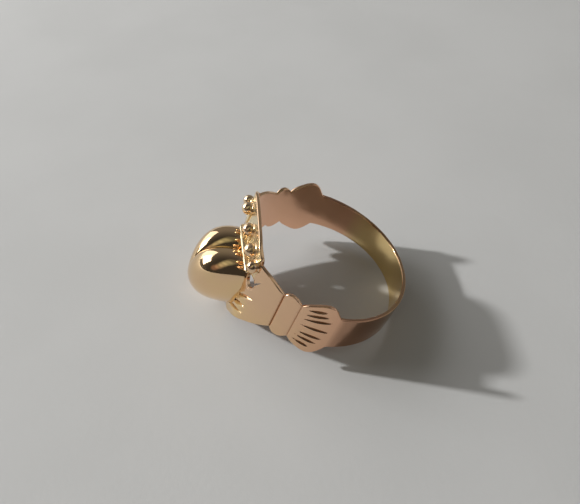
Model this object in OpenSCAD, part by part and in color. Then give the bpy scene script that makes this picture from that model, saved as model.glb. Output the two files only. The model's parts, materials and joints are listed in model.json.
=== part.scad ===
// Claddagh-pattern fede ring: two hands in ruffled cuffs hold a puffed heart under a beaded crown.
// Everything is cut from, or soldered to, one strip of gold sheet, so the ring is one solid.
// Ring frame: the finger axis is Z, the heart faces -Y and the crown points to +Z.
// The ring then leans back until it lies on its lower edges, as it would by itself.

/* [Band] */
// Inside diameter of the round part of the band
inner_d = 17.2; // [15:0.1:21]
// Thickness of the gold sheet
sheet_t = 0.4; // [0.3:0.05:0.6]
// Height of the band at the back of the finger
back_h = 3.4; // [2.4:0.1:4]
// Height of the band just behind the ruffles
shoulder_h = 4.3; // [3.4:0.1:5]

/* [Bezel plate] */
// Radius, seen from above, of the nearly flat plate that carries the heart
plate_r = 38; // [28:1:60]
// Radius of the bend where the plate turns into the round band
corner_r = 3.3; // [2.8:0.1:4.2]
// Angle round the finger axis, from the heart, where the round band begins
corner_angle = 33; // [30:1:36]
// Height of the crown's top edge above the middle of the band
crown_top = 4.75; // [4.2:0.05:5.4]
// Depth of the plate's lower edge below the middle of the band
plate_drop = 7.6; // [7:0.1:8.2]
// Half width of the flat stretch of that lower edge
foot_half_w = 1.5; // [1:0.1:2]

/* [Hands and cuffs] */
// Angle from the heart to the wrist
wrist_angle = 54.5; // [52:0.5:57]
// Angle from the heart to the line between cuff and ruffle
cuff_angle = 67; // [64:0.5:69]
// Height of the wrist
wrist_h = 4.9; // [4.4:0.1:5.2]
// Height of the hand's upper edge where the crown rises from it
hand_top = 3.25; // [3:0.05:3.6]
// Flutes engraved on each ruffle
flute_count = 7; // [3:2:9]
// Depth of the engraved lines
engrave_d = 0.12; // [0.05:0.01:0.2]
// Radius of the hole pierced beside each thumb
thumb_hole_r = 0.72; // [0.5:0.01:0.8]

/* [Heart] */
// How far the heart stands out of the plate
heart_h = 4.9; // [3.5:0.1:6]
// Radius of each lobe
lobe_r = 1.95; // [1.85:0.05:2.1]
// Distance of each lobe's centre from the middle of the heart
lobe_x = 1.6; // [1.4:0.05:1.7]
// Height of the lobes' centres, below the middle of the band
lobe_z = -1.1; // [-1.4:0.05:-1]
// Radius of the curved sides, from lobe to tip
flank_r = 6.8; // [6:0.2:9]
// Height of the heart's lowest point
heart_tip_z = -7.6; // [-7.65:0.05:-7.2]
// Thickness of the heart's wall
heart_wall = 0.35; // [0.25:0.05:0.5]

// Radius of the vent behind the hollow heart, on the finger side
vent_r = 0.5; // [0.3:0.05:1]

/* [Crown] */
// Radius of the beads
bead_r = 0.66; // [0.6:0.02:0.68]
// How far the base bar stands out of the plate
bar_proud = 0.5; // [0.3:0.05:0.7]

/* [Hidden] */
$fn = 96;

outer_r = inner_d / 2 + sheet_t;
tall = 10;        // half height of the uncut sheet
far = 20;         // reach of the cutting solids
through = 3;      // depth of what cuts through the sheet
gold_rose = [0.80, 0.58, 0.43];
gold_yellow = [0.85, 0.68, 0.36];

// Plan of the sheet's outer face: plate arc, bend and round band meet with one shared tangent.
bend_centre = [(outer_r - corner_r) * sin(corner_angle), -(outer_r - corner_r) * cos(corner_angle)];
plate_angle = asin(bend_centre.x / (plate_r - corner_r));
plate_y = plate_r * (1 - cos(plate_angle)) - bend_centre.y + corner_r * cos(plate_angle);
plate_half = plate_r * plate_angle * PI / 180;
bend_end = plate_half + corner_r * (corner_angle - plate_angle) * PI / 180;

// Turn of the sheet's outward normal, and its place in plan, s millimetres along the sheet.
function sheet_turn(s) =
    s < plate_half ? s / plate_r * 180 / PI
    : s < bend_end ? plate_angle + (s - plate_half) / corner_r * 180 / PI
    : corner_angle + (s - bend_end) / outer_r * 180 / PI;
function arc_point(centre, radius, turn) = centre + radius * [sin(turn), -cos(turn)];
function sheet_point(s) =
    s < plate_half ? arc_point([0, plate_r - plate_y], plate_r, sheet_turn(s))
    : s < bend_end ? arc_point(bend_centre, corner_r, sheet_turn(s))
    : arc_point([0, 0], outer_r, sheet_turn(s));
// Length along the sheet at an angle on the round band.
function sheet_length(angle) = bend_end + (angle - corner_angle) * outer_r * PI / 180;
function mix(a, b, t) = a + (b - a) * t;

// Cuff and ruffle outline: angle from the heart, half height of the sheet there.
ANGLE = 0;
HALF = 1;
cuff_rows = [
    [wrist_angle, wrist_h / 2 + 0.05],
    [57, 2.85],
    [60, 2.95],
    [63.5, 2.7],
    [cuff_angle, 2.25],
    [69.5, 2.65],
    [74, 3.1],
    [79, 3.45],
    [84, 3.55],
    [87, 3.3],
    [89.5, 2.7],
    [91.5, shoulder_h / 2],
];

crown_s = 5.0;    // length along the sheet to the crown's corner
wrist_s = sheet_length(wrist_angle);
crown_half_w = sheet_point(crown_s).x;

// Upper edge of the crown, and upper and lower edges of the hand.
function crown_edge(x) = hand_top + (crown_top - hand_top) * sqrt(1 - pow(x / crown_half_w, 4));
function hand_upper(t) = hand_top - (hand_top - wrist_h / 2) * pow(t, 2.2);
function hand_lower(t) = mix(-plate_drop + 0.1, -wrist_h / 2, t);

// Lines that touch the bend's arc, moved in by inset: they cut the bend in short even steps.
bend_steps = 4;
function bend_polygon(inset) =
    let (
        step = (corner_angle - plate_angle) / bend_steps,
        reach = (corner_r - inset) / cos(step / 2),
        first = plate_angle + step / 2,
        last = corner_angle - step / 2,
        corners = [for (i = [1:bend_steps - 1]) arc_point(bend_centre, reach, plate_angle + i * step)],
        nose = [0, bend_centre.y - (corner_r - inset) / cos(first) - bend_centre.x * tan(first)],
        tail = corners[bend_steps - 2] + far * [cos(last), sin(last)]
    )
    concat([nose], corners, [tail, [tail.x, far], [0, far]]);

// Plan of the ring's outer face, moved in by inset, as a block at full height.
module plan_block(inset) {
    intersection() {
        cylinder(r = outer_r - inset, h = 2 * tall, center = true, $fn = 180);
        translate([0, plate_r - plate_y, 0])
            cylinder(r = plate_r - inset, h = 2 * tall, center = true, $fn = 720);
        linear_extrude(height = 2 * tall, center = true)
            both_sides() polygon(bend_polygon(inset));
    }
}

// The bent strip at full height, from inset inside its outer face to proud outside it.
module strip(inset, proud) {
    difference() {
        plan_block(-proud);
        plan_block(inset);
    }
}

// Puts children on the sheet's outer face, with their -Y side outward.
module on_sheet(s, z) {
    at = sheet_point(s);
    translate([at.x, at.y, z])
        rotate([0, 0, sheet_turn(s)])
            children();
}

module both_sides() {
    for (side = [0, 1])
        mirror([side, 0, 0])
            children();
}

// Front view of the crown, plate and hands, cut along Y.
module front_outline() {
    steps = 8;
    half = concat(
        [for (i = [0:steps]) [crown_half_w * i / steps, crown_edge(crown_half_w * i / steps)]],
        [for (i = [1:steps]) [sheet_point(mix(crown_s, wrist_s, i / steps)).x, hand_upper(i / steps)]],
        [for (i = [steps:-1:0]) [sheet_point(mix(foot_half_w, wrist_s, i / steps)).x, hand_lower(i / steps)]],
        [[foot_half_w * 0.8, -plate_drop], [0, -plate_drop]]
    );
    rotate([90, 0, 0])
        linear_extrude(height = 2 * far, center = true)
            both_sides() polygon(half);
}

// Side view of the cuffs, ruffles and tapering band, cut along X.
module side_outline() {
    upper = concat(
        [for (r = cuff_rows) [-outer_r * cos(r[ANGLE]), r[HALF]]],
        [[outer_r, back_h / 2], [outer_r + 1, back_h / 2]]
    );
    lower = [for (i = [len(upper) - 1:-1:0]) [upper[i].x, -upper[i].y]];
    rotate([90, 0, 90])
        linear_extrude(height = 2 * far, center = true)
            polygon(concat(upper, lower));
}

// Everything in front of the wrists, or everything behind them.
module wrist_wedge(front) {
    edge = far * [sin(wrist_angle), -cos(wrist_angle)];
    fan = [[edge.x, edge.y], [0, 0], [-edge.x, edge.y]];
    rest = front ? [[-edge.x, -far], [edge.x, -far]] : [[-far, far], [far, far]];
    linear_extrude(height = 2 * tall, center = true)
        polygon(concat(fan, rest));
}

// Hole pierced between the thumb and the forefinger, and the sawn slot that runs out of it.
module thumb_piercing() {
    hole_at = [4.5, 0.4];
    slot_at = [5.25, 0.75];
    slot_l = 1.7;
    slot_w = 0.22;
    slot_turn = 55;
    on_sheet(hole_at.x, hole_at.y)
        rotate([90, 0, 0])
            cylinder(r = thumb_hole_r, h = through, center = true, $fn = 32);
    on_sheet(slot_at.x, slot_at.y)
        rotate([0, -slot_turn, 0])
            cube([slot_l, through, slot_w], center = true);
}

// Finger lines: length along the sheet and height where each starts at the heart, and where it ends.
START_S = 0;
START_Z = 1;
END_S = 2;
END_Z = 3;
finger_rows = [
    [3.95, -2.3, 5.75, -1.05],
    [3.4, -4.0, 5.5, -2.6],
    [2.45, -5.6, 5.3, -3.75],
];

// A line with pointed ends between two places that are both seen from the front.
module front_line(a, b, line_w) {
    along = (b - a) / norm(b - a);
    across = [-along.y, along.x] * line_w / 2;
    widest = mix(a, b, 0.3);
    rotate([90, 0, 0])
        linear_extrude(height = far)
            polygon([a, widest - across, b, widest + across]);
}

module finger_lines() {
    line_w = 0.2;
    for (r = finger_rows)
        front_line([sheet_point(r[START_S]).x, r[START_Z]], [sheet_point(r[END_S]).x, r[END_Z]], line_w);
}

module finger_piercings() {
    dot_r = 0.17;
    for (r = finger_rows)
        on_sheet(r[START_S], r[START_Z])
            rotate([90, 0, 0])
                cylinder(r = dot_r, h = through, center = true, $fn = 16);
}

module heart_vent() {
    translate([0, -plate_y, summit_z])
        rotate([90, 0, 0])
            cylinder(r = vent_r, h = through, center = true, $fn = 32);
}

module cuff_lines() {
    line_w = 0.2;
    for (angle = [wrist_angle, cuff_angle])
        on_sheet(sheet_length(angle), 0)
            cube([line_w, through, 2 * tall], center = true);
}

// Tapered flutes that fan out from the cuff to the scalloped end of the ruffle.
module flutes() {
    start_angle = 70.3;
    end_angle = 89;       // end of the middle flute
    end_curve = 7.2;      // how much sooner, in degrees, the outermost flutes end
    outer_z = 2.28;       // height of the outermost flutes' middle
    outer_rise = 0.27;    // how far their ends stand above and below that
    widest = 0.34;
    widest_at = 0.3;
    last = (flute_count - 1) / 2;
    for (k = [-last:last]) {
        fan = k / last;
        end = end_angle - end_curve * fan * fan;
        half_l = (end - start_angle) / 2 * outer_r * PI / 180;
        rise = outer_rise * fan;
        on_sheet(sheet_length((start_angle + end) / 2), outer_z * fan)
            rotate([90, 0, 0])
                linear_extrude(height = through, center = true)
                    polygon([
                        [-half_l, -rise],
                        [half_l * widest_at, rise * widest_at - widest / 2],
                        [half_l, rise],
                        [half_l * widest_at, rise * widest_at + widest / 2],
                    ]);
    }
}

module shank() {
    color(gold_rose)
        difference() {
            intersection() {
                strip(sheet_t, 0);
                union() {
                    intersection() {
                        front_outline();
                        wrist_wedge(true);
                    }
                    intersection() {
                        side_outline();
                        wrist_wedge(false);
                    }
                }
            }
            heart_vent();
            both_sides() {
                thumb_piercing();
                finger_piercings();
            }
            intersection() {
                strip(engrave_d, 0.3);
                both_sides() {
                    finger_lines();
                    cuff_lines();
                    flutes();
                }
            }
        }
}

// Base bar of the crown, a raised edge along the top of the heart.
module crown_bar() {
    bar_z = 0.75;
    bar_h = 0.45;
    bar_half_w = 3.7;
    color(gold_yellow)
        intersection() {
            strip(sheet_t / 2, bar_proud);
            translate([-bar_half_w, -far, bar_z - bar_h / 2])
                cube([2 * bar_half_w, far, bar_h]);
        }
}

// Places of the crown's beads: length along the sheet, height. All but the first have a twin.
bead_rows = [[0, 2.75], [2.85, 2.9], [4.5, 2.55]];
bead_out = 0.3;   // distance of a bead's centre from the sheet

// Pointed prong under a bead.
module crown_prong() {
    prong_w = 1.3;
    prong_h = 1.6;
    proud = 0.22;
    sink = 0.15;
    translate([0, sink, 0])
        rotate([90, 0, 0])
            linear_extrude(height = sink + proud)
                polygon([[-prong_w / 2, 0], [0, -prong_h], [prong_w / 2, 0]]);
}

module crown_bead(row) {
    on_sheet(row.x, row.y) {
        translate([0, -bead_out, 0])
            sphere(r = bead_r, $fn = 24);
        crown_prong();
    }
}

module crown_beads() {
    color(gold_yellow) {
        crown_bead(bead_rows[0]);
        both_sides()
            for (i = [1:len(bead_rows) - 1])
                crown_bead(bead_rows[i]);
    }
}

// Heart outline, seen from the front, clockwise from the notch: lobe, curved side and tip share tangents.
tip_r = 0.6;
tip_centre = [0, heart_tip_z + tip_r];
lobe_centre = [lobe_x, lobe_z];
lobe_gap = flank_r - lobe_r;      // from the side's centre to the lobe's
tip_gap = flank_r - tip_r;        // from the side's centre to the tip's
to_tip = (tip_centre - lobe_centre) / norm(tip_centre - lobe_centre);
tip_reach = norm(tip_centre - lobe_centre);
flank_along = (lobe_gap * lobe_gap - tip_gap * tip_gap + tip_reach * tip_reach) / (2 * tip_reach);
flank_across = sqrt(lobe_gap * lobe_gap - flank_along * flank_along);
flank_centre = lobe_centre + flank_along * to_tip + flank_across * [to_tip.y, -to_tip.x];
function direction(v) = atan2(v.y, v.x);
flank_top = direction(lobe_centre - flank_centre);
flank_foot = direction(tip_centre - flank_centre);
notch_angle = acos(-lobe_x / lobe_r);
function round_point(centre, radius, angle) = centre + radius * [cos(angle), sin(angle)];
half_heart = concat(
    [for (i = [0:15]) round_point(lobe_centre, lobe_r, mix(notch_angle, flank_top, i / 15))],
    [for (i = [1:9]) round_point(flank_centre, flank_r, mix(flank_top, flank_foot, i / 10))],
    [for (i = [0:4]) round_point(tip_centre, tip_r, mix(flank_foot, -90, i / 4))]
);
whole_heart = concat(half_heart, [for (i = [len(half_heart) - 2:-1:1]) [-half_heart[i].x, half_heart[i].y]]);

// Domed cap over that outline: rings of points shrink towards the summit as they rise.
summit_z = -3.85;
sink_into_plate = 0.33;
skirt = 0.06;       // upright edge of the heart above the plate
top_power = 3.2;    // a higher power gives a flatter top
rim_power = 1.95;   // a higher power gives a steeper rim
function cap_height(t) = sin(90 * t);
function cap_scale(t) = pow(1 - pow(cap_height(t), top_power), 1 / rim_power);
function cap_ring(size, rise, t, y0) = [
    for (p = whole_heart)
        [p.x * size * cap_scale(t), -(y0 + rise * cap_height(t)), summit_z + (p.y - summit_z) * size * cap_scale(t)]
];
function cap_points(size, rise, layers) = concat(
    cap_ring(size, rise, 0, plate_y - sink_into_plate),
    [for (j = [0:layers - 1]) each cap_ring(size, rise, j / layers, plate_y + skirt)],
    [[0, -(plate_y + skirt + rise), summit_z]]
);
// Triangles of one cap, counted from its first point; flip turns their faces inward.
function cap_faces(first, layers, flip) =
    let (n = len(whole_heart), top = first + n * (layers + 1))
    [
        for (j = [0:layers], i = [0:n - 1])
            let (a = first + j * n + i, b = first + j * n + (i + 1) % n)
            each j < layers
                ? [flip ? [a, b, b + n] : [a, b + n, b], flip ? [a, b + n, a + n] : [a, a + n, b + n]]
                : [flip ? [a, b, top] : [a, top, b]]
    ];

outer_layers = 11;
inner_layers = 6;
cap_rise = heart_h - skirt;
heart_points = cap_points(1, cap_rise, outer_layers);

module heart() {
    n = len(whole_heart);
    inner_first = len(heart_points);
    inner_size = 1 - heart_wall / (lobe_x + lobe_r);
    rim = [
        for (i = [0:n - 1])
            let (a = i, b = (i + 1) % n, c = inner_first + (i + 1) % n, d = inner_first + i)
            each [[a, c, b], [a, d, c]]
    ];
    color(gold_rose)
        polyhedron(
            points = concat(heart_points, cap_points(inner_size, cap_rise - heart_wall, inner_layers)),
            faces = concat(cap_faces(0, outer_layers, true), cap_faces(inner_first, inner_layers, false), rim),
            convexity = 8
        );
}

// Resting lean: the inner edge of the plate's foot and the back of the band touch the surface together.
lean = atan((plate_drop - back_h / 2) / (outer_r + plate_y - sheet_t));
rest_height = outer_r * sin(lean) + back_h / 2 * cos(lean);
front_reach = min([for (p = heart_points) p.y * cos(lean) + p.z * sin(lean)]);
back_reach = outer_r * cos(lean) + back_h / 2 * sin(lean);

module ring() {
    translate([0, -(front_reach + back_reach) / 2, rest_height])
        rotate([-lean, 0, 0]) {
            shank();
            crown_bar();
            crown_beads();
            heart();
        }
}

ring();
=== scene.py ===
"""The looks of a claddagh fede ring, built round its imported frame.

Shapes are worked out in the ring's own frame, in millimetres: the finger axis is Z, the heart faces -Y and
the crown points to +Z. place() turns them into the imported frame, where the ring lies on its side.
A place on the bent sheet is given by s, the length along its outer face from the middle of the heart, and z.
"""

import json
import math

import bmesh
import bpy
import numpy as np
from mathutils import Matrix, Vector


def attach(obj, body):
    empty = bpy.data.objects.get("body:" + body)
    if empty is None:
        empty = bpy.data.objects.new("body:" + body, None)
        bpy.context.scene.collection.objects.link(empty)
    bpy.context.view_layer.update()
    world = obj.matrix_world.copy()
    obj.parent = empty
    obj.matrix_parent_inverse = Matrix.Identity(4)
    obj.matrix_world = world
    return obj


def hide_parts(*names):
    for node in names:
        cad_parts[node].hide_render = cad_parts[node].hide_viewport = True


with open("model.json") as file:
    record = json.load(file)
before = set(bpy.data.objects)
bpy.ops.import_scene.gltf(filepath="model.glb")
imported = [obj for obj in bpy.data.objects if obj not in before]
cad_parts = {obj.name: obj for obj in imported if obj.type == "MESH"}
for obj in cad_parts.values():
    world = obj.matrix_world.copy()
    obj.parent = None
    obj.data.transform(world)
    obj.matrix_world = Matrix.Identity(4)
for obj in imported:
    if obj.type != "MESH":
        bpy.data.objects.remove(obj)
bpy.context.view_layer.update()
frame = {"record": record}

MM = 0.001
TURN = 2 * math.pi

# The ring's own frame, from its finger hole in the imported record
FINGER_HOLE = frame["record"]["mounts"][0]
HOLE_MIDDLE = Vector(FINGER_HOLE["pos_m"])
HOLE_AXIS = Vector(FINGER_HOLE["axis"]).normalized()
ACROSS = Vector((1, 0, 0))
RING_AXES = Matrix((ACROSS, HOLE_AXIS.cross(ACROSS), HOLE_AXIS)).transposed()

# Bent sheet, in millimetres: nearly flat plate in front, then a bend, then the round band
INNER_R = 8.6
SHEET_T = 0.4
OUTER_R = INNER_R + SHEET_T
PLATE_R = 38.0
CORNER_R = 3.3
CORNER_ANGLE = math.radians(33)
BEND_X = (OUTER_R - CORNER_R) * math.sin(CORNER_ANGLE)
BEND_Y = -(OUTER_R - CORNER_R) * math.cos(CORNER_ANGLE)
PLATE_ANGLE = math.asin(BEND_X / (PLATE_R - CORNER_R))
PLATE_Y = PLATE_R * (1 - math.cos(PLATE_ANGLE)) - BEND_Y + CORNER_R * math.cos(PLATE_ANGLE)
PLATE_HALF = PLATE_R * PLATE_ANGLE
BEND_END = PLATE_HALF + CORNER_R * (CORNER_ANGLE - PLATE_ANGLE)

# The head of the ring in the photo is bent a little by wear: (s, how far the sheet has moved outward)
WORN_BEND = [
    (-8.4, 0), (-6.8, 0.12), (-4.8, 0.3), (-2.4, 0.13), (0, 0),
    (2.4, 0.02), (4.8, 0.1), (6.8, 0.04), (8.4, 0),
]


def at_angle(degrees):
    """Length along the sheet at an angle from the heart, on the round band."""
    return BEND_END + (math.radians(degrees) - CORNER_ANGLE) * OUTER_R


# Where the crown, hand, cuff, ruffle and band end, and the heights of the plate
CROWN_S = 5.03
WRIST_S = at_angle(54.5)
CUFF_S = at_angle(67)
RUFFLE_S = at_angle(92.8)
BACK_S = at_angle(180)
CROWN_TOP = 4.75
HAND_TOP = 3.25
FOOT_Z = -7.6

# Edges of half the strip, as (s, z). Cuff, ruffle and band are as deep below the middle line as above it.
HAND_UPPER = [(CROWN_S, HAND_TOP), (5.84, 3.18), (6.59, 3.06), (7.39, 2.8), (WRIST_S, 2.36)]
HAND_LOWER = [
    (0, FOOT_Z), (1.0, FOOT_Z), (1.62, -7.45), (3.26, -6.2), (4.66, -5.12), (5.64, -4.41), (6.51, -3.82),
    (7.39, -3.18), (WRIST_S, -2.4),
]
CUFF_EDGE = [(WRIST_S, 2.4), (at_angle(56), 2.66), (at_angle(60), 2.9), (at_angle(64), 2.66), (CUFF_S, 2.24)]
RUFFLE_EDGE = [
    (CUFF_S, 2.26), (at_angle(69.5), 2.62), (at_angle(74), 3.04), (at_angle(79), 3.4), (at_angle(83), 3.5),
    (at_angle(86.5), 3.28), (at_angle(89.5), 2.82), (at_angle(91.5), 2.4), (RUFFLE_S, 2.14),
]
BAND_EDGE = [(RUFFLE_S, 2.14), (at_angle(110), 2.0), (at_angle(140), 1.82), (BACK_S, 1.7)]

# Engraving of one hand: (s, z) where each finger line starts at the heart, its middle, and its end
FINGER_LINES = [
    [(3.83, -2.33), (4.83, -1.55), (5.9, -1.05)],
    [(3.18, -4.0), (4.3, -3.2), (5.5, -2.6)],
    [(1.96, -5.96), (3.9, -4.45), (5.4, -3.65)],
]
THUMB_LINES = [[(3.0, -1.1), (3.72, -2.2)], [(3.0, -1.1), (4.35, -1.2)]]
# Flutes of one ruffle: angle and height of both ends
FLUTES = [
    (70.2, 2.22, 83.4, 2.7), (68.9, 1.52, 86.2, 2.12), (69.0, 0.9, 90.0, 1.46), (68.6, 0.17, 90.8, -0.02),
    (68.6, -0.79, 89.0, -1.17), (68.7, -1.34, 86.6, -1.95), (68.7, -1.96, 83.4, -2.68),
]
# Graver's cuts: half width, depth, and a swell that is above 1 where the widest place lies past the middle
FINGER_CUT = (0.16, 0.14, 0.6)
THUMB_CUT = (0.1, 0.07, 1.0)
FLUTE_CUT = (0.22, 0.15, 1.35)
FINGER_ROUNDING = (0.46, 0.1, 0.7)
STROKE_POINTS = 40
STROKE_FULLNESS = 0.8
STROKE_TIP = 0.02
# Lines across the strip: s, half width, depth
CROSS_LINES = [(WRIST_S, 0.19, 0.12), (CUFF_S, 0.18, 0.09)]
# Softer falls, half width and depth: beside the cross lines, and round the thumb hole
PILLOW = (0.5, 0.05)
HOLE_RIM = (0.22, 0.07)
# Waves of hand-made sheet: height, length, seed
OUTER_WAVES = [(0.016, 4.5, 1.0), (0.006, 1.7, 2.0)]
INNER_WAVE = (0.012, 3.7, 3.0)
INNER_SHIFT = 7.0
TOP_WAVE = (0.03, 1.9, 4.0)
FOOT_WAVE = (0.03, 2.3, 5.0)

# Piercing: the thumb hole and its slot at (s, z), the dots at the finger lines' starts, and the heart's vent
THUMB_HOLE = (4.5, 0.4)
THUMB_HOLE_R = 0.72
SLOT = (5.1, 0.55)
SLOT_LENGTH = 1.9
SLOT_WIDTH = 0.26
SLOT_TURN = 0.95
SLOT_PIVOT = 0.3
DOT_R = 0.17
DOT_SIDES = 16
VENT_R = 0.5
HOLE_SIDES = 40
CUTTER_REACH = (0.8, -1.1)

# Mesh of the strip: columns along half of it, rows round its section, and its rounded edges
CROWN_COLUMNS = 66
MIDDLE_COLUMNS = [(CROWN_S, WRIST_S, 48), (WRIST_S, CUFF_S, 32), (CUFF_S, RUFFLE_S, 66)]
BAND_COLUMNS = 40
BAND_SPREAD = 1.2
OUTER_ROWS = 118
INNER_ROWS = 26
EDGE_STEPS = 4
EDGE_R = 0.12

# Tints of the sheet. How far the outer face turns from rose to a redder painted warm reflection towards the
# back, standing in for the warm shade that the ruffle and the inner face mirror: (s, share)
PAINTED_WARM_REFLECTION_SHARE = [(0, 0.16), (WRIST_S, 0.24), (CUFF_S, 0.4), (RUFFLE_S, 1), (BACK_S, 1)]
# Between which values of s, z or distance from the top edge each region begins and is full
CROWN_REGION_S = (4.95, 4.65)
CROWN_REGION_Z = (0.7, 1.0)
CROWN_REGION_EDGE = (0, 0.2)
FINGER_REGION_S = (5.6, 4.4)
FINGER_REGION_Z = (-1.6, -2.4)
# Painted dark reflection: the band's outer face past the ruffle, where it mirrors shaded floor
PAINTED_DARK_REFLECTION_REGION_S = (RUFFLE_S - 0.2, RUFFLE_S + 0.5)
BACK_REGION_S = (at_angle(118), at_angle(118) + 2.5)
FINGER_YELLOW = 0.6
DEEPEST_CUT = 0.15

# Heart: one outline whose rings shrink towards the summit as they rise
HEART_H = 4.9
HEART_WALL = 0.35
HEART_SINK = 0.3
SUMMIT_Z = -3.85
LOBE = np.array([1.6, -1.1])
LOBE_R = 1.95
FLANK_R = 6.8
TIP_R = 0.6
TIP = np.array([0, FOOT_Z + TIP_R])
TOP_POWER = 3.2
RIM_POWER = 1.95
LOBE_POINTS = 46
FLANK_POINTS = 30
TIP_POINTS = 9
OUTER_LAYERS = 44
INNER_LAYERS = 10

# Crown: (s, z, radius, length of the prong) of its beads; each but the first has a twin.
# BEAD_OUT is how far a ball's middle stands out of the sheet, and the roots are let into the sheet.
BEADS = [(0, 2.85, 0.66, 1.7), (2.9, 3.0, 0.66, 1.8), (4.5, 2.55, 0.6, 1.0)]
BEAD_OUT = 0.34
BEAD_ROOT = 0.2
BEAD_SIDES = 36
BALL_POINTS = 20
FILLET_R = 0.12
FILLET_POINTS = 6
PRONG_HALF_W = 0.66
PRONG_TIP = 0.05
PRONG_TAPER = 0.75
PRONG_PROUD = 0.17
PRONG_THINNING = 0.5
PRONG_DROP = 0.1
PRONG_SECTIONS = 14
BAR_Z = 0.72
BAR_ENDS = (-3.0, 3.75)
BAR_HALF_H = 0.24
BAR_PROUD = 0.55
BAR_SKEW = 0.055
BAR_TIP = 0.1
BAR_SQUARENESS = 8
BAR_SECTIONS = 60
WIRE_ROOT = 0.15
WIRE_POINTS = 13
WIRE_FULLNESS = 0.7

# Sharpest edge that still shades smooth, in degrees
SMOOTH_TO = 38
HEART_SMOOTH_TO = 50

# Colours
ROSE = (0.86, 0.59, 0.38, 1)
YELLOW = (0.90, 0.69, 0.34, 1)
PALE_YELLOW = (0.90, 0.76, 0.49, 1)
# Painted warm reflection: a redder gold for the warm shade mirrored by the ruffle and the inner face
PAINTED_WARM_REFLECTION = (0.86, 0.50, 0.33, 1)
# Grime and painted shade in the cuts: darker the deeper the cut
GRIME_AND_PAINTED_SHADE = (0.30, 0.09, 0.015, 1)
# Painted dark reflection of shaded floor on the band's outer face past the ruffle
PAINTED_DARK_REFLECTION = (0.42, 0.24, 0.15, 1)
FLOOR_DARK = (0.545, 0.549, 0.549, 1)
FLOOR_LIGHT = (0.572, 0.576, 0.577, 1)
FLOOR_RANGE = (0.3, 0.7)
FLOOR_HALF = 0.6
FLOOR_ROUGHNESS = 0.9
FLOOR_SHEEN = 0.15

# Gold: sizes of its noise, as waves a metre, and how much each mark and each relief does
DRIFT_SCALE = 190.0
DRIFT_RANGE = (0.35, 0.65)
DRIFT = 0.18
PATCH_SCALE = 620.0
PATCH_RANGE = (0.3, 0.72)
PATCH_ROUGHNESS = (0.7, 1.5)
WAVE_SCALE = 330.0
HAIRLINE_SCALE = (900.0, 5200.0, 5200.0)
HAIRLINE_TURN = (0.3, 0.9, 0.4)
HAIRLINE_HEIGHT = 0.12
GOLD_BUMP = 0.35
GOLD_BUMP_DEPTH = 0.00004
# How strong the painted warm reflection gets
PAINTED_WARM_REFLECTION_MOST = 0.9
# How strong the painted dark reflection gets
PAINTED_DARK_REFLECTION_MOST = 0.8
# Grime and painted shade in the cuts: the share of the deepest cut at which they begin and are fullest, how
# strong they get, and how much rougher they make the gold
GRIME_AND_PAINTED_SHADE_RANGE = (0.15, 0.9)
GRIME_AND_PAINTED_SHADE_MOST = 0.85
GRIME_AND_PAINTED_SHADE_ROUGHNESS = 0.35
CROWN_ROUGHNESS = 0.1

# Camera: the photograph's angle to the ring. Azimuth 0 looks along +Y, 90 looks along -X.
CAMERA_AZIMUTH = 87.17
CAMERA_ELEVATION = 45.9
CAMERA_ROLL = -0.89
CAMERA_DISTANCE = 66.2 * MM
CAMERA_AIM = Vector((-2.02, -0.62, 4.58)) * MM
FOCAL_PIXELS = 620
PICTURE_WIDTH = 580
SENSOR_MM = 36.0
NEAR_CLIP = 0.001

# Light. Angles are in degrees, seen from the ring.
LIGHT_DISTANCE = 0.9
LAMP_AZIMUTH = -17.0
LAMP_ELEVATION = 24.7
LAMP_RADIUS = 1.3
LAMP_STRENGTH = 3.1
LAMP_COLOUR = (1.0, 0.993, 0.98)
# Bright panels: azimuth, elevation, width and height, radiance
PANELS = {
    "window": (-21.0, 26.0, (30, 30), 3.7),
    "curtain": (-47.0, 24.0, (34, 44), 1.6),
}
# Soft glows of the room: azimuth, elevation, angles at which each starts to fade and is gone, colour
ROOM = [
    (-90.0, -20.0, 40, 120, (0.16, 0.153, 0.147)),
    (0.0, 90.0, 100, 180, (0.045, 0.043, 0.041)),
    (42.0, 29.0, 0, 19, (0.19, 0.11, 0.08)),
    (57.0, 42.0, 0, 19, (0.25, 0.21, 0.14)),
    (72.0, 56.0, 0, 19, (0.32, 0.31, 0.21)),
    (100.0, 66.0, 0, 19, (0.28, 0.29, 0.19)),
    (142.0, 69.0, 0, 19, (0.12, 0.12, 0.08)),
    (176.0, 30.0, 6, 38, (0.38, 0.37, 0.35)),
]


def place(points):
    """Takes ring-frame millimetres to packed-frame metres."""
    points = np.asarray(points, float).reshape(-1, 3) * MM
    return points @ np.array(RING_AXES).T + np.array(HOLE_MIDDLE)


def fade(value, start, end):
    """Goes straight from 0 at the start to 1 at the end, and is level outside them."""
    return np.clip((value - start) / (end - start), 0, 1)


def smooth_curve(points, at):
    """A smooth curve through a few (place, value) points."""
    x, y = np.array(points, float).T
    slope = np.gradient(y, x)
    i = np.clip(np.searchsorted(x, at) - 1, 0, len(x) - 2)
    step = x[i + 1] - x[i]
    t = np.clip((at - x[i]) / step, 0, 1)
    hold = t * t * (3 - 2 * t)
    leaving = slope[i] * t * (1 - t) ** 2
    arriving = slope[i + 1] * t * t * (1 - t)
    return y[i] * (1 - hold) + y[i + 1] * hold + step * (leaving - arriving)


def ripple(s, z, height, size, seed):
    """Gentle waves between 0 and height, size millimetres long."""
    k = TURN / size
    a = np.sin(k * (0.83 * s + 0.55 * z) + seed) + np.sin(k * (0.47 * s - 0.92 * z) + 2.1 * seed)
    b = np.sin(k * (1.31 * s + 0.18 * z) + 3.7 * seed) + np.sin(k * (0.21 * s + 1.27 * z) + 5.3 * seed)
    return height * (0.5 + (a + b) / 8)


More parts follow.
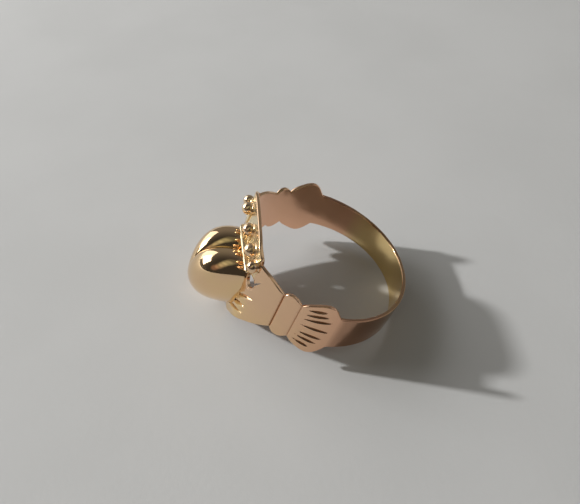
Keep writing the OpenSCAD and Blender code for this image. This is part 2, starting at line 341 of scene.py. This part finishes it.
def on_sheet(s, z, out):
    """Points out millimetres outside the sheet's outer face."""
    s, z, out = np.broadcast_arrays(np.asarray(s, float), z, out)
    a = np.abs(s)
    parts = [a < PLATE_HALF, a < BEND_END]
    bend_turn = PLATE_ANGLE + (a - PLATE_HALF) / CORNER_R
    band_turn = CORNER_ANGLE + (a - BEND_END) / OUTER_R
    turn = np.select(parts, [a / PLATE_R, bend_turn], band_turn)
    radius = np.select(parts, [PLATE_R, CORNER_R], OUTER_R) + out + smooth_curve(WORN_BEND, s)
    centre_x = np.select(parts, [0.0, BEND_X], 0.0)
    centre_y = np.select(parts, [PLATE_R - PLATE_Y, BEND_Y], 0.0)
    x = centre_x + radius * np.sin(turn)
    y = centre_y - radius * np.cos(turn)
    return np.stack([np.where(s < 0, -x, x), y, z], axis=-1)


def local_axes(s, z):
    """Centre, outward normal, direction along the sheet and upward direction at a place on it."""
    centre = on_sheet(s, z, 0.0)
    normal = on_sheet(s, z, 1.0) - centre
    return centre, normal, np.array([-normal[1], normal[0], 0.0]), np.array([0, 0, 1.0])


def side_height(a):
    """Half height of the cuff, the ruffle and the band."""
    cuff, ruffle, band = (smooth_curve(edge, a) for edge in (CUFF_EDGE, RUFFLE_EDGE, BAND_EDGE))
    return np.select([a < CUFF_S, a < RUFFLE_S], [cuff, ruffle], band)


def upper_edge(s):
    """Height of the strip's upper edge, from the crown's arch over the hand to the back of the band."""
    a = np.abs(s)
    crown = HAND_TOP + (CROWN_TOP - HAND_TOP) * np.sqrt(np.clip(1 - (a / CROWN_S) ** 4, 0, 1))
    hand = np.where(a < CROWN_S, crown, smooth_curve(HAND_UPPER, a))
    return np.where(a < WRIST_S, hand, side_height(a))


def lower_edge(s):
    """Height of the strip's lower edge, from the plate's foot to the back of the band."""
    a = np.abs(s)
    return np.where(a < WRIST_S, smooth_curve(HAND_LOWER, a), -side_height(a))


def column_lengths():
    """Places of the strip's columns, closest where the outline or the engraving needs them."""
    parts = [CROWN_S * np.sin(np.linspace(0, math.pi / 2, CROWN_COLUMNS))]
    for start, end, columns in MIDDLE_COLUMNS:
        parts.append(np.linspace(start, end, columns)[1:])
    parts.append(RUFFLE_S + (BACK_S - RUFFLE_S) * np.linspace(0, 1, BAND_COLUMNS)[1:] ** BAND_SPREAD)
    half = np.concatenate(parts)
    return np.concatenate([-half[:0:-1], half[:-1]])


def groove(offset, half_w, depth):
    """Depth of a rounded groove, by distance from its middle."""
    return depth * 0.5 * (1 + np.cos(math.pi * np.clip(np.abs(offset) / half_w, 0, 1)))


def stroke(s, z, points, half_w, depth, swell):
    """Depth of a graver's cut along a smooth line, pointed at both ends."""
    points = np.array(points, float)
    keys = np.linspace(0, 1, len(points))
    t = np.linspace(0, 1, STROKE_POINTS)
    line = np.column_stack([smooth_curve(np.column_stack([keys, points[:, i]]), t) for i in (0, 1)])
    low, high = line.min(axis=0) - half_w, line.max(axis=0) + half_w
    near = (s > low[0]) & (s < high[0]) & (z > low[1]) & (z < high[1])
    out = np.zeros_like(s)
    if not near.any():
        return out
    gap = np.hypot(s[near][:, None] - line[:, 0], z[near][:, None] - line[:, 1])
    width = np.maximum(np.sin(math.pi * t[gap.argmin(axis=1)] ** swell) ** STROKE_FULLNESS, STROKE_TIP)
    out[near] = width * groove(gap.min(axis=1), half_w * width, depth)
    return out


def engraving(s, z):
    """Depth of everything cut into the outer face, in millimetres."""
    a = np.abs(s)
    flutes = [
        [(at_angle(start), start_z), (at_angle(end), end_z)] for start, start_z, end, end_z in FLUTES
    ]
    cuts = np.zeros_like(a)
    for lines, cut in ((FINGER_LINES, FINGER_CUT), (flutes, FLUTE_CUT), (THUMB_LINES, THUMB_CUT)):
        for line in lines:
            cuts = np.maximum(cuts, stroke(a, z, line, *cut))
    for length, half_w, depth in CROSS_LINES:
        cuts = np.maximum(cuts, groove(a - length, half_w, depth))
    return cuts


def modelling(s, z):
    """Depth of the softer forms: rounded fingers, pillowed cuffs and a little hand-made unevenness."""
    a = np.abs(s)
    forms = sum(ripple(s, z, *wave) for wave in OUTER_WAVES)
    for line in FINGER_LINES:
        forms = np.maximum(forms, forms * 0.5 + stroke(a, z, line, *FINGER_ROUNDING))
    for length, _, _ in CROSS_LINES:
        forms = forms + groove(a - length, *PILLOW)
    rim = np.hypot(a - THUMB_HOLE[0], z - THUMB_HOLE[1]) - THUMB_HOLE_R
    return forms + groove(np.maximum(rim, 0), *HOLE_RIM)


def shank_grid():
    """Points of the strip by column and by row, and the marks its material reads.

    The rows go up the outer face, over the top edge, down the inner face and round the lower edge.
    """
    s = column_lengths()[:, None]
    top = upper_edge(s) - ripple(s, 0, *TOP_WAVE)
    foot = lower_edge(s) + ripple(s, 0, *FOOT_WAVE)
    high, low = top - EDGE_R, foot + EDGE_R
    outer_z = low + (high - low) * np.linspace(0, 1, OUTER_ROWS + 1)
    inner_z = low + (high - low) * np.linspace(1, 0, INNER_ROWS + 1)
    length = s + np.zeros_like(outer_z)
    cut = engraving(length, outer_z)
    outer = -(cut + modelling(length, outer_z))
    inner = -SHEET_T + ripple(s + INNER_SHIFT, inner_z, *INNER_WAVE)

    corner = np.linspace(0, 1, EDGE_STEPS + 1)[1:-1]
    sine = EDGE_R * np.sin(corner * math.pi / 2)
    cosine = EDGE_R * np.cos(corner * math.pi / 2)
    near = np.full_like(s, -EDGE_R)
    far = np.full_like(s, EDGE_R - SHEET_T)
    z = np.hstack([
        outer_z, high + sine, top, top, high + cosine,
        inner_z, low - sine, foot, foot, low - cosine,
    ])
    out = np.hstack([
        outer, outer[:, -1:] * (1 - corner) + near + cosine, near, far, far - sine,
        inner, far - cosine, far, near, outer[:, :1] * corner + near + sine,
    ])
    return on_sheet(s, z, out), strip_marks(np.abs(s), z, high, cut)


def strip_marks(a, z, high, cut):
    """Numbers from 0 to 1 for the strip's material, one a point, with cut the engraving of the outer face."""
    outer_rows = cut.shape[1]
    outer_z = z[:, :outer_rows]
    plate = fade(outer_z, *CROWN_REGION_Z) * fade(high - outer_z, *CROWN_REGION_EDGE)
    crown = plate * fade(a, *CROWN_REGION_S)
    fingers = fade(a, *FINGER_REGION_S) * fade(outer_z, *FINGER_REGION_Z)
    back = fade(a, *BACK_REGION_S) + np.zeros_like(z)
    rest = np.zeros((len(a), z.shape[1] - outer_rows))
    outside = np.ones_like(z)
    outside[:, outer_rows + 2 * EDGE_STEPS:-EDGE_STEPS] = 0
    return {
        "cut_depth": np.hstack([cut, rest]) / DEEPEST_CUT,
        "crown": np.hstack([crown, rest]),
        "yellow": np.hstack([np.maximum(crown, FINGER_YELLOW * fingers), back[:, outer_rows:]]),
        # Painted warm reflection: redder towards the ruffle and over the whole inner face, except at the back
        "painted_warm_reflection": (1 - back) * np.where(outside > 0, smooth_curve(PAINTED_WARM_REFLECTION_SHARE, a), 1),
        # Painted dark reflection: the outer face and its edges past the ruffle, darkened for the shaded floor
        # they mirror
        "painted_dark_reflection": outside * fade(a, *PAINTED_DARK_REFLECTION_REGION_S),
    }


def add_object(name, data):
    """Puts a mesh, a camera or a light in the scene."""
    thing = bpy.data.objects.new(name, data)
    bpy.context.scene.collection.objects.link(thing)
    return thing


def add_piece(name, points, faces):
    """A mesh object from ring-frame points."""
    mesh = bpy.data.meshes.new(name)
    mesh.from_pydata(place(points).tolist(), [], faces)
    mesh.validate()
    return add_object(name, mesh)


def turn_out(piece, smooth_to=SMOOTH_TO):
    """Faces outwards, shades smooth and marks the edges that are really sharp."""
    mesh = bmesh.new()
    mesh.from_mesh(piece.data)
    bmesh.ops.recalc_face_normals(mesh, faces=mesh.faces)
    limit = math.radians(smooth_to)
    for face in mesh.faces:
        face.smooth = True
    for edge in mesh.edges:
        edge.smooth = len(edge.link_faces) == 2 and edge.calc_face_angle(0) < limit
    mesh.to_mesh(piece.data)
    mesh.free()


def wrap_faces(columns, rows, close_columns, first=0):
    """Quads over a grid of points whose rows close, from the point numbered first."""
    faces = []
    for i in range(columns if close_columns else columns - 1):
        near, far = first + i * rows, first + (i + 1) % columns * rows
        for j in range(rows):
            m = (j + 1) % rows
            faces.append((near + j, far + j, far + m, near + m))
    return faces


def closed_skin(name, start, rings, end, smooth_to=SMOOTH_TO):
    """A piece from a point through rings of equal length to a point."""
    n = len(rings[0])
    faces = wrap_faces(len(rings), n, False, first=1)
    last = 1 + (len(rings) - 1) * n
    for i in range(n):
        k = (i + 1) % n
        faces += [(0, 1 + k, 1 + i), (last + n, last + i, last + k)]
    piece = add_piece(name, np.vstack([start, *rings, end]), faces)
    turn_out(piece, smooth_to)
    return piece


def swept_bar(name, sections):
    """A closed bar through sections of equal length, each a list of points."""
    n = len(sections[0])
    last = (len(sections) - 1) * n
    faces = wrap_faces(len(sections), n, False)
    faces += [tuple(range(n)), tuple(range(last + n - 1, last - 1, -1))]
    piece = add_piece(name, np.vstack(sections), faces)
    turn_out(piece)
    return piece


def circle(radius, count):
    """Points round a full circle."""
    angles = TURN * np.arange(count) / count
    return radius * np.column_stack([np.cos(angles), np.sin(angles)])


def slot_outline():
    """A pointed slot, widest near its start."""
    half = np.array([(0, 0), (0.25, 1), (0.6, 0.75), (1, 0)])
    ring = np.vstack([half, half[-2:0:-1] * [1, -1]])
    flat = (ring - [SLOT_PIVOT, 0]) * [SLOT_LENGTH, SLOT_WIDTH / 2]
    c, s = math.cos(SLOT_TURN), math.sin(SLOT_TURN)
    return flat @ np.array([[c, s], [-s, c]])


def prism_cutter(s, z, outline):
    """A straight cutter through the sheet at s, z, with an outline in (along, up) millimetres."""
    centre, normal, along, up = local_axes(s, z)
    ring = centre + outline[:, :1] * along + outline[:, 1:] * up
    return swept_bar("cutter", [ring + reach * normal for reach in CUTTER_REACH])


def pierce(piece):
    """Cuts the thumb holes with their slots, the finger dots and the heart's vent."""
    cutters = [prism_cutter(0, SUMMIT_Z, circle(VENT_R, HOLE_SIDES))]
    for side in (-1, 1):
        hole = circle(THUMB_HOLE_R, HOLE_SIDES)
        cutters.append(prism_cutter(side * THUMB_HOLE[0], THUMB_HOLE[1], hole))
        cutters.append(prism_cutter(side * SLOT[0], SLOT[1], slot_outline() * [side, 1]))
        for line in FINGER_LINES:
            cutters.append(prism_cutter(side * line[0][0], line[0][1], circle(DOT_R, DOT_SIDES)))
    for cutter in cutters:
        cut = piece.modifiers.new("cut", "BOOLEAN")
        cut.operation = "DIFFERENCE"
        cut.solver = "MANIFOLD"
        cut.object = cutter
    bpy.context.view_layer.update()
    graph = bpy.context.evaluated_depsgraph_get()
    mesh = bpy.data.meshes.new_from_object(piece.evaluated_get(graph))
    piece.modifiers.clear()
    piece.data = mesh
    for cutter in cutters:
        bpy.data.objects.remove(cutter)


def make_shank():
    """The strip of sheet, with its marks stored on the mesh for its material."""
    points, marks = shank_grid()
    columns, rows = points.shape[:2]
    piece = add_piece("shank", points, wrap_faces(columns, rows, True))
    for name, values in marks.items():
        attribute = piece.data.attributes.new(name, "FLOAT", "POINT")
        attribute.data.foreach_set("value", values.astype(np.float32).ravel())
    pierce(piece)
    turn_out(piece)
    return piece


def arc(centre, radius, start, end, count):
    """Points along an arc, both ends included."""
    angles = np.linspace(start, end, count)
    return centre + radius * np.column_stack([np.cos(angles), np.sin(angles)])


def heart_outline():
    """The heart seen from the front, clockwise from the notch: lobe, curved side and tip share tangents."""
    reach = np.linalg.norm(TIP - LOBE)
    way = (TIP - LOBE) / reach
    lobe_gap, tip_gap = FLANK_R - LOBE_R, FLANK_R - TIP_R
    along = (lobe_gap ** 2 - tip_gap ** 2 + reach ** 2) / (2 * reach)
    across = math.sqrt(lobe_gap ** 2 - along ** 2)
    flank = LOBE + along * way + across * np.array([way[1], -way[0]])
    top = math.atan2(*(LOBE - flank)[::-1])
    foot = math.atan2(*(TIP - flank)[::-1])
    notch = math.acos(-LOBE[0] / LOBE_R)
    half = np.vstack([
        arc(LOBE, LOBE_R, notch, top, LOBE_POINTS),
        arc(flank, FLANK_R, top, foot, FLANK_POINTS)[1:],
        arc(TIP, TIP_R, foot, -math.pi / 2, TIP_POINTS)[1:],
    ])
    return np.vstack([half, half[-2:0:-1] * [-1, 1]])


def dome(outline, size, rise, layers):
    """Rings of points from inside the plate to the summit, and the summit itself."""
    levels = [(size, -(PLATE_Y - HEART_SINK))]
    for t in np.linspace(0, 1, layers + 1)[:-1]:
        height = math.sin(t * math.pi / 2)
        shrink = (1 - height ** TOP_POWER) ** (1 / RIM_POWER)
        levels.append((size * shrink, -(PLATE_Y + rise * height)))
    rings = []
    for scale, y in levels:
        z = SUMMIT_Z + (outline[:, 1] - SUMMIT_Z) * scale
        rings.append(np.column_stack([outline[:, 0] * scale, np.full(len(outline), y), z]))
    return rings, np.array([0, -(PLATE_Y + rise), SUMMIT_Z])


def make_heart():
    """A hollow dome: inner and outer skins joined at the rim, which sits in the plate."""
    outline = heart_outline()
    inner_size = 1 - HEART_WALL / (LOBE[0] + LOBE_R)
    outer, summit = dome(outline, 1.0, HEART_H, OUTER_LAYERS)
    inner, roof = dome(outline, inner_size, HEART_H - HEART_WALL, INNER_LAYERS)
    return closed_skin("heart", roof, inner[::-1] + outer, summit, HEART_SMOOTH_TO)


def bead_profile(radius):
    """Half section of a soldered ball, (radius, height over the sheet): ball, then fillet, then root."""
    contact = math.acos(-(BEAD_OUT - FILLET_R) / (radius + FILLET_R))
    angles = np.linspace(0, contact, BALL_POINTS)
    ball = [(radius * math.sin(a), BEAD_OUT + radius * math.cos(a)) for a in angles]
    middle = np.array([(radius + FILLET_R) * math.sin(contact), FILLET_R])
    start = math.atan2(*(np.array(ball[-1]) - middle)[::-1])
    fillet = arc(middle, FILLET_R, start, 1.5 * math.pi, FILLET_POINTS)[1:]
    return [*ball, *fillet, (fillet[-1][0], -BEAD_ROOT)]


def make_bead(number, s, z, radius):
    """A ball soldered to the crown plate, its profile turned about the sheet's normal."""
    centre, normal, along, up = local_axes(s, z)
    round_it = circle(1.0, BEAD_SIDES) @ np.array([along, up])
    profile = bead_profile(radius)
    rings = [centre + height * normal + reach * round_it for reach, height in profile[1:]]
    summit, root = (centre + profile[i][1] * normal for i in (0, -1))
    return closed_skin(f"crown_bead_{number}", summit, rings, root)


def arch(half_w, proud):
    """Rounded section of a soldered wire: (across, out) points."""
    angles = np.linspace(0, math.pi, WIRE_POINTS)
    top = [(half_w * math.cos(a), proud * math.sin(a) ** WIRE_FULLNESS) for a in angles]
    return [(half_w, -WIRE_ROOT), *top, (-half_w, -WIRE_ROOT)]


def make_prong(number, s, z, length):
    """A pointed prong from its bead down towards the crown's base bar."""
    sections = []
    for t in np.linspace(0, 1, PRONG_SECTIONS):
        half_w = PRONG_HALF_W * (1 - t) ** PRONG_TAPER + PRONG_TIP
        proud = PRONG_PROUD * (1 - PRONG_THINNING * t)
        centre, normal, along, _ = local_axes(s, z - PRONG_DROP - length * t)
        sections.append([centre + x * along + y * normal for x, y in arch(half_w, proud)])
    return swept_bar(f"crown_prong_{number}", sections)


def make_bar():
    """Base bar of the crown, along the top of the heart, rounded at both ends."""
    sections = []
    for t in np.linspace(-1, 1, BAR_SECTIONS):
        s = BAR_ENDS[0] + (BAR_ENDS[1] - BAR_ENDS[0]) * (t + 1) / 2
        end = math.sqrt(1 - t ** BAR_SQUARENESS) * (1 - BAR_TIP) + BAR_TIP
        centre, normal, _, up = local_axes(s, BAR_Z)
        section = arch(BAR_HALF_H * end, (BAR_PROUD - BAR_SKEW * s) * end)
        sections.append([centre + x * up + y * normal for x, y in section])
    return swept_bar("crown_bar", sections)


class Nodes:
    """A short way to add and link the shader nodes of a material or a world."""

    def __init__(self, owner, shader="Principled BSDF"):
        owner.use_nodes = True
        self.tree = owner.node_tree
        self.shader = self.tree.nodes[shader]

    def add(self, kind, settings=None, **inputs):
        node = self.tree.nodes.new(kind)
        for key, value in (settings or {}).items():
            setattr(node, key, value)
        for key, value in inputs.items():
            self.link(node, key.replace("_", " "), value)
        return node

    def link(self, node, key, value):
        """Feeds an input, by name or number, from another node or with a constant."""
        if isinstance(value, bpy.types.NodeSocket):
            self.tree.links.new(value, node.inputs[key])
        else:
            node.inputs[key].default_value = value

    def position(self):
        """Where the surface is, in metres."""
        return self.add("ShaderNodeTexCoord").outputs["Object"]

    def mark(self, name):
        """One of the numbers stored on the mesh."""
        return self.add("ShaderNodeAttribute", {"attribute_name": name}).outputs["Fac"]

    def noise(self, vector, scale, detail, roughness=0.5):
        node = self.add("ShaderNodeTexNoise", Vector=vector, Scale=scale, Detail=detail, Roughness=roughness)
        return node.outputs["Fac"]

    def ramp(self, value, low, high, to_low=0.0, to_high=1.0):
        """Takes low..high smoothly to to_low..to_high."""
        node = self.add("ShaderNodeMapRange", {"interpolation_type": "SMOOTHSTEP"}, Value=value)
        limits = {"From Min": low, "From Max": high, "To Min": to_low, "To Max": to_high}
        for key, number in limits.items():
            node.inputs[key].default_value = number
        return node.outputs["Result"]

    def mix(self, share, one, two):
        """Colour one, turned to colour two by a share of 0 to 1."""
        node = self.add("ShaderNodeMix", {"data_type": "RGBA"})
        for key, value in ((0, share), (6, one), (7, two)):
            self.link(node, key, value)
        return node.outputs[2]

    def maths(self, operation, one, two):
        node = self.add("ShaderNodeMath", {"operation": operation})
        self.link(node, 0, one)
        self.link(node, 1, two)
        return node.outputs["Value"]

    def vector_maths(self, operation, *values):
        node = self.add("ShaderNodeVectorMath", {"operation": operation})
        for key, value in enumerate(values):
            self.link(node, key, value)
        return node

    def bump(self, height, strength, distance):
        node = self.add("ShaderNodeBump", Height=height, Strength=strength, Distance=distance)
        self.link(self.shader, "Normal", node.outputs["Normal"])


def gold_material(name, yellow, yellow_share, rough, wave, marked=False):
    """Polished gold: drifting tint, wiped patches, hairline scratches and gentle waves.

    A mesh with marks also has yellow regions, a pale crown plate, a painted warm reflection towards the
    ruffle and inside, a painted dark reflection past the ruffle, and grime with painted shade in its cuts.
    """
    material = bpy.data.materials.new(name)
    nodes = Nodes(material)
    position = nodes.position()
    drift = nodes.noise(position, DRIFT_SCALE, detail=2.0)
    share = nodes.ramp(drift, *DRIFT_RANGE, yellow_share - DRIFT, yellow_share + DRIFT)
    colour = nodes.mix(share, ROSE, yellow)
    patches = nodes.noise(position, PATCH_SCALE, detail=4.0, roughness=0.6)
    roughness = nodes.ramp(patches, *PATCH_RANGE, *(rough * times for times in PATCH_ROUGHNESS))
    if marked:
        crown = nodes.mark("crown")
        # Grime and painted shade, darker in the deeper cuts
        grime_and_painted_shade = nodes.ramp(nodes.mark("cut_depth"), *GRIME_AND_PAINTED_SHADE_RANGE, 0.0, GRIME_AND_PAINTED_SHADE_MOST)
        # Painted warm reflection, redder towards the ruffle and on the inner face
        colour = nodes.mix(nodes.maths("MULTIPLY", nodes.mark("painted_warm_reflection"), PAINTED_WARM_REFLECTION_MOST), colour, PAINTED_WARM_REFLECTION)
        colour = nodes.mix(nodes.mark("yellow"), colour, YELLOW)
        colour = nodes.mix(crown, colour, PALE_YELLOW)
        # Painted dark reflection of shaded floor past the ruffle
        colour = nodes.mix(nodes.maths("MULTIPLY", nodes.mark("painted_dark_reflection"), PAINTED_DARK_REFLECTION_MOST), colour, PAINTED_DARK_REFLECTION)
        colour = nodes.mix(grime_and_painted_shade, colour, GRIME_AND_PAINTED_SHADE)
        for mark, more in ((crown, CROWN_ROUGHNESS), (grime_and_painted_shade, GRIME_AND_PAINTED_SHADE_ROUGHNESS)):
            roughness = nodes.maths("ADD", roughness, nodes.maths("MULTIPLY", mark, more))
    streaks = nodes.add("ShaderNodeMapping", Vector=position, Scale=HAIRLINE_SCALE, Rotation=HAIRLINE_TURN)
    hairlines = nodes.noise(streaks.outputs["Vector"], 1.0, detail=3.0, roughness=0.7)
    waves = nodes.noise(position, WAVE_SCALE, detail=2.0)
    relief = [nodes.maths("MULTIPLY", hairlines, HAIRLINE_HEIGHT), nodes.maths("MULTIPLY", waves, wave)]
    nodes.bump(nodes.maths("ADD", *relief), GOLD_BUMP, GOLD_BUMP_DEPTH)
    nodes.link(nodes.shader, "Base Color", colour)
    nodes.link(nodes.shader, "Roughness", roughness)
    nodes.shader.inputs["Metallic"].default_value = 1.0
    return material


def dress(piece, material):
    """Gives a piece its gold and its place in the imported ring."""
    piece.data.materials.clear()
    piece.data.materials.append(material)
    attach(piece, "root")
    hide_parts("ring")


def make_floor():
    """A wide pale surface with a faint grain."""
    mesh = bpy.data.meshes.new("floor")
    half = FLOOR_HALF
    corners = [(-half, -half, 0), (half, -half, 0), (half, half, 0), (-half, half, 0)]
    mesh.from_pydata(corners, [], [(0, 1, 2, 3)])
    floor = add_object("floor", mesh)
    material = bpy.data.materials.new("pale_board")
    nodes = Nodes(material)
    position = nodes.position()
    tone = nodes.ramp(nodes.noise(position, scale=45.0, detail=5.0), *FLOOR_RANGE)
    nodes.link(nodes.shader, "Base Color", nodes.mix(tone, FLOOR_DARK, FLOOR_LIGHT))
    nodes.bump(nodes.noise(position, scale=1500.0, detail=4.0), strength=0.12, distance=0.0001)
    nodes.shader.inputs["Roughness"].default_value = FLOOR_ROUGHNESS
    nodes.shader.inputs["Specular IOR Level"].default_value = FLOOR_SHEEN
    floor.data.materials.append(material)


def toward(azimuth, elevation):
    """Unit vector that points from the aim towards a place at that azimuth and elevation."""
    a, e = math.radians(azimuth), math.radians(elevation)
    return Vector((math.sin(a) * math.cos(e), -math.cos(a) * math.cos(e), math.sin(e)))


def make_camera():
    """The photo's camera, whose focal length is given in pixels of the photo."""
    data = bpy.data.cameras.new("camera")
    data.sensor_width = SENSOR_MM
    data.lens = SENSOR_MM * FOCAL_PIXELS / PICTURE_WIDTH
    data.clip_start = NEAR_CLIP
    camera = add_object("camera", data)
    azimuth = math.radians(CAMERA_AZIMUTH)
    back = toward(CAMERA_AZIMUTH, CAMERA_ELEVATION)
    right = Vector((math.cos(azimuth), math.sin(azimuth), 0))
    upright = Matrix((right, back.cross(right), back)).transposed().to_4x4()
    roll = Matrix.Rotation(math.radians(CAMERA_ROLL), 4, "Z")
    camera.matrix_world = Matrix.Translation(CAMERA_AIM + back * CAMERA_DISTANCE) @ upright @ roll
    bpy.context.scene.camera = camera


def add_light(data, azimuth, elevation):
    """Puts a lamp or panel on the sphere of lights, facing the ring."""
    light = add_object(data.name, data)
    way = toward(azimuth, elevation)
    light.location = way * LIGHT_DISTANCE
    light.rotation_euler = way.to_track_quat("Z", "Y").to_euler()


def make_lights():
    """A low lamp from the heart's side, a bright window round it, and a paler curtain beside the window."""
    lamp = bpy.data.lights.new("lamp", "POINT")
    lamp.energy = LAMP_STRENGTH * 4 * math.pi * LIGHT_DISTANCE ** 2
    lamp.shadow_soft_size = LIGHT_DISTANCE * math.radians(LAMP_RADIUS)
    lamp.color = LAMP_COLOUR
    add_light(lamp, LAMP_AZIMUTH, LAMP_ELEVATION)
    for name, (azimuth, elevation, size, radiance) in PANELS.items():
        panel = bpy.data.lights.new(name, "AREA")
        panel.shape = "RECTANGLE"
        panel.size, panel.size_y = (2 * LIGHT_DISTANCE * math.tan(math.radians(d / 2)) for d in size)
        panel.energy = radiance * math.pi * panel.size * panel.size_y
        add_light(panel, azimuth, elevation)


def make_room():
    """A dim room round the ring: soft glows, each added to the ones before."""
    world = bpy.data.worlds.new("room")
    bpy.context.scene.world = world
    nodes = Nodes(world, "Background")
    way = nodes.add("ShaderNodeTexCoord").outputs["Generated"]
    glow = (0.0, 0.0, 0.0)
    for azimuth, elevation, full, gone, colour in ROOM:
        facing = nodes.vector_maths("DOT_PRODUCT", way, toward(azimuth, elevation))
        ends = math.cos(math.radians(gone)), math.cos(math.radians(full))
        share = nodes.ramp(facing.outputs["Value"], *ends)
        glow = nodes.vector_maths("MULTIPLY_ADD", share, colour, glow).outputs["Vector"]
    nodes.link(nodes.shader, "Color", glow)


def make_ring():
    """All the pieces in their golds: the strip, the heart, the bar, and each bead with its prong."""
    sheet_gold = gold_material("sheet_gold", YELLOW, yellow_share=0.2, rough=0.14, wave=0.5, marked=True)
    heart_gold = gold_material("heart_gold", YELLOW, yellow_share=0.25, rough=0.07, wave=0.25)
    bar_gold = gold_material("crown_gold", PALE_YELLOW, yellow_share=0.8, rough=0.2, wave=0.4)
    bead_gold = gold_material("bead_gold", PALE_YELLOW, yellow_share=0.3, rough=0.2, wave=0.4)
    prong_gold = gold_material("soldered_gold", PALE_YELLOW, yellow_share=0.82, rough=0.3, wave=0.8)
    dress(make_shank(), sheet_gold)
    dress(make_heart(), heart_gold)
    dress(make_bar(), bar_gold)
    number = 0
    for bead_s, z, radius, prong in BEADS:
        for side in ((1, -1) if bead_s else (1,)):
            number += 1
            dress(make_bead(number, side * bead_s, z, radius), bead_gold)
            dress(make_prong(number, side * bead_s, z, prong), prong_gold)


make_camera()
make_lights()
make_room()
make_floor()
make_ring()

bpy.context.scene.view_settings.view_transform = "Standard"
